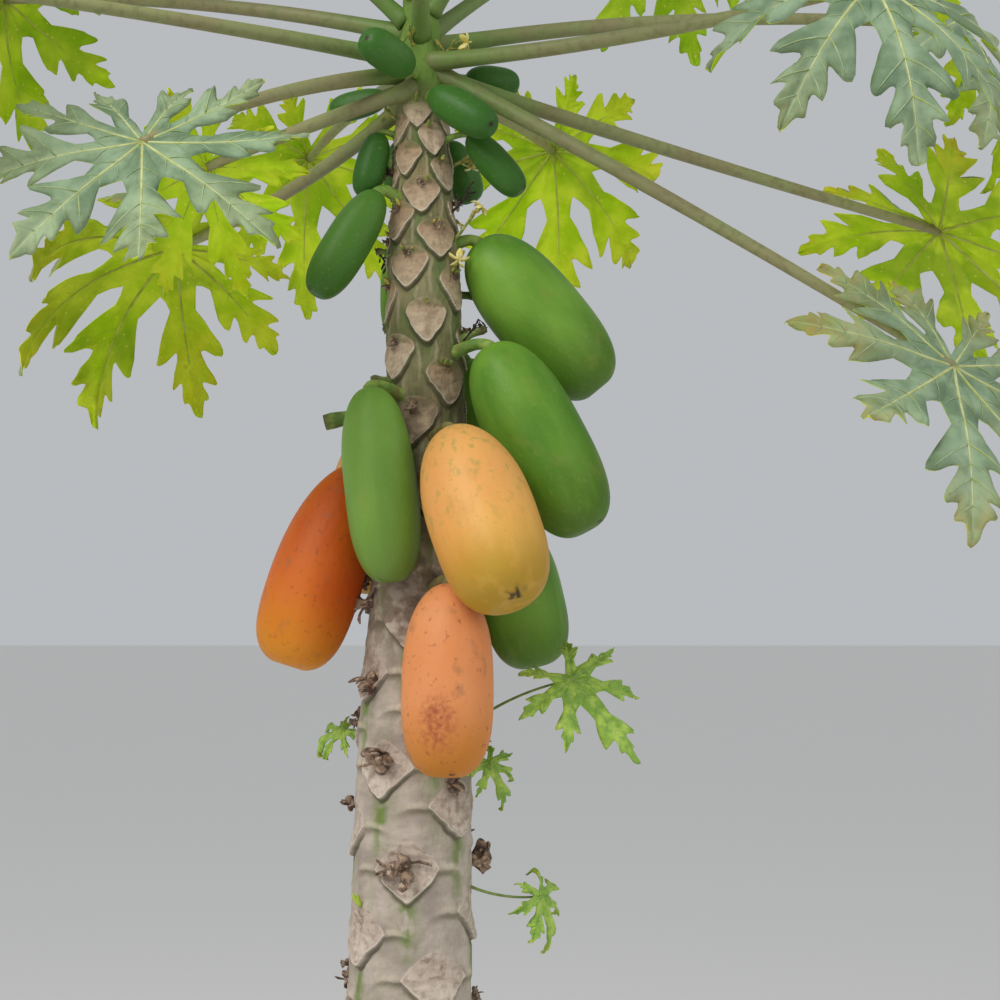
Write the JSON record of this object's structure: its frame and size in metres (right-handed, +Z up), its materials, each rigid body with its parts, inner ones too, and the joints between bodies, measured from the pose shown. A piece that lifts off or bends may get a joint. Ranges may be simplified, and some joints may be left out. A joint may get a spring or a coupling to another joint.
{
  "type": "papaya tree",
  "caption": "Bearing papaya tree rooted in level ground: scarred single trunk, long-stalked palmate leaves and hanging green to orange fruit.",
  "frame": {"origin": "middle of the flat cut under the trunk, at ground level", "axes": "+Z up along the trunk, -Y towards the viewer of the picture, +X to the viewer's right"},
  "size_m": [1.8023, 1.4681, 2.8951],
  "materials": {
    "bark": "matte",
    "leaf": "satin",
    "shoot": "satin",
    "fruit_green": "satin",
    "fruit_yellow": "satin",
    "fruit_orange": "satin"
  },
  "bodies": {
    "root": {"trunk": "bark", "leaf_01": "leaf", "leaf_02": "leaf", "leaf_03": "leaf", "leaf_04": "leaf", "leaf_05": "leaf", "leaf_06": "leaf", "leaf_07": "leaf", "leaf_08": "leaf", "leaf_09": "leaf", "leaf_10": "leaf", "leaf_11": "leaf", "leaf_12": "leaf", "leaf_13": "leaf", "leaf_14": "leaf", "leaf_15": "leaf", "leaf_16": "leaf", "leaf_17": "leaf", "leaf_18": "leaf", "leaf_19": "leaf", "leaf_20": "leaf", "leaf_21": "leaf", "leaf_22": "leaf", "leaf_23": "leaf", "fruit_green_1": "fruit_green", "fruit_green_2": "fruit_green", "fruit_green_3": "fruit_green", "fruit_green_4": "fruit_green", "fruit_green_5": "fruit_green", "fruit_green_6": "fruit_green", "fruit_green_7": "fruit_green", "fruit_green_8": "fruit_green", "fruit_green_9": "fruit_green", "fruit_green_10": "fruit_green", "fruit_green_11": "fruit_green", "fruit_green_12": "fruit_green", "fruit_green_13": "fruit_green", "fruit_green_14": "fruit_green", "fruit_green_15": "fruit_green", "fruit_yellow_1": "fruit_yellow", "fruit_yellow_2": "fruit_yellow", "fruit_orange_1": "fruit_orange", "fruit_orange_2": "fruit_orange", "fruit_orange_3": "fruit_orange", "shoot_1": "shoot", "shoot_2": "shoot", "shoot_3": "shoot", "shoot_4": "shoot"}
  },
  "joints": []
}
